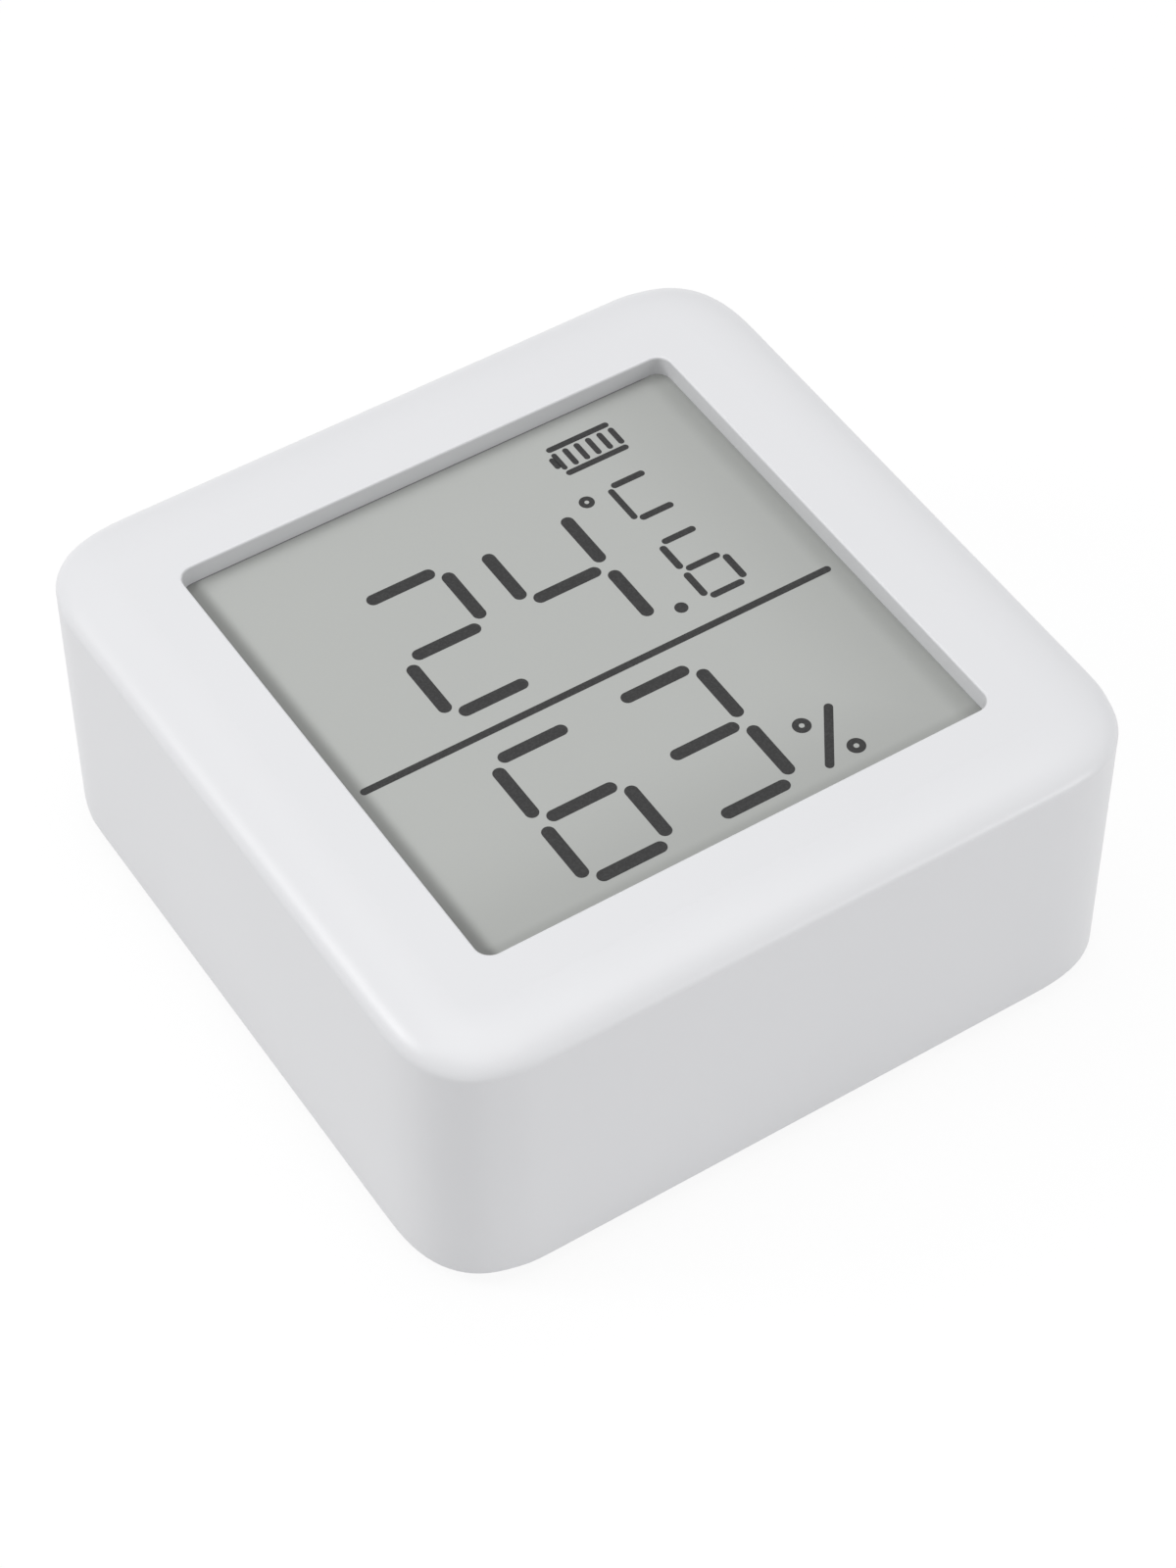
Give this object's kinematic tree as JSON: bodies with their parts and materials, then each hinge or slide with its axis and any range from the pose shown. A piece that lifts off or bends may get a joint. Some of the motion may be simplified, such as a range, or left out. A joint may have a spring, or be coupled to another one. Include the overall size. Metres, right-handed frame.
{
  "type": "temperature humidity sensor",
  "caption": "Square white room sensor with a recessed reflective display for temperature and humidity, a lift-off back cover and a folding stand.",
  "frame": {"origin": "middle of the back cover's outer face, on the surface that the sensor lies on", "axes": "+X to the right of the display, +Y to its top, +Z out of the display"},
  "size_m": [0.055, 0.055, 0.024],
  "materials": {
    "case_white": "fine satin moulding",
    "inner_white": "plain moulding",
    "display_film": "anti-glare film over a grey-green reflective display",
    "reflector_film": "silver-grey film",
    "display_glass": "polished",
    "foam_black": "closed-cell foam",
    "strip_rubber": "striped elastomer",
    "button_grey": "satin",
    "switch_black": "moulded nylon",
    "board_green": "solder mask",
    "chip_black": "moulded resin",
    "antenna_ceramic": "fired ceramic",
    "can_steel": "seam-welded lid",
    "coil_grey": "ferrite",
    "capacitor_tan": "fired ceramic",
    "screw_steel": "zinc plated",
    "cell_jacket": "plain printed jacket",
    "contact_nickel": "nickel plate",
    "mesh_black": "woven polyester",
    "magnet_nickel": "nickel plate"
  },
  "bodies": {
    "housing": {"front_housing": "case_white", "display_gasket": "foam_black", "front_polarizer": "display_film", "front_glass": "display_glass", "rear_glass": "display_glass", "rear_polarizer": "reflector_film", "contact_strip": "strip_rubber", "display_carrier": "inner_white", "main_board": "board_green", "board_screws": "screw_steel", "wireless_chip": "chip_black", "display_driver": "chip_black", "main_crystal": "can_steel", "clock_crystal": "can_steel", "chip_antenna": "antenna_ceramic", "power_coil": "coil_grey", "chip_capacitors": "capacitor_tan", "chip_resistors": "chip_black", "humidity_sensor": "chip_black", "sensor_seal": "foam_black", "push_switch": "switch_black", "battery_tray": "inner_white", "tray_screws": "screw_steel", "upper_cell": "cell_jacket", "lower_cell": "cell_jacket", "positive_contact": "contact_nickel", "negative_contact": "contact_nickel", "bridge_contact": "contact_nickel", "contact_springs": "contact_nickel"},
    "button": {"switch_stem": "switch_black", "button_cap": "button_grey"},
    "cover": {"back_cover": "case_white", "vent_mesh": "mesh_black", "cover_magnets": "magnet_nickel"},
    "stand": {"folding_stand": "case_white"}
  },
  "joints": [
    {"name": "cover_lift", "type": "slide", "parent": "housing", "child": "cover", "axis": [0, 0, -1], "range_m": [0, 0.03]},
    {"name": "stand_hinge", "type": "hinge", "parent": "cover", "child": "stand", "pos_m": [0, -0.003, 0.00095], "axis": [1, 0, 0], "range_deg": [0, 65]},
    {"name": "button_press", "type": "slide", "parent": "housing", "child": "button", "axis": [0, 0, 1], "range_m": [0, 0.00025], "stiffness_N_per_m": 2000}
  ]
}
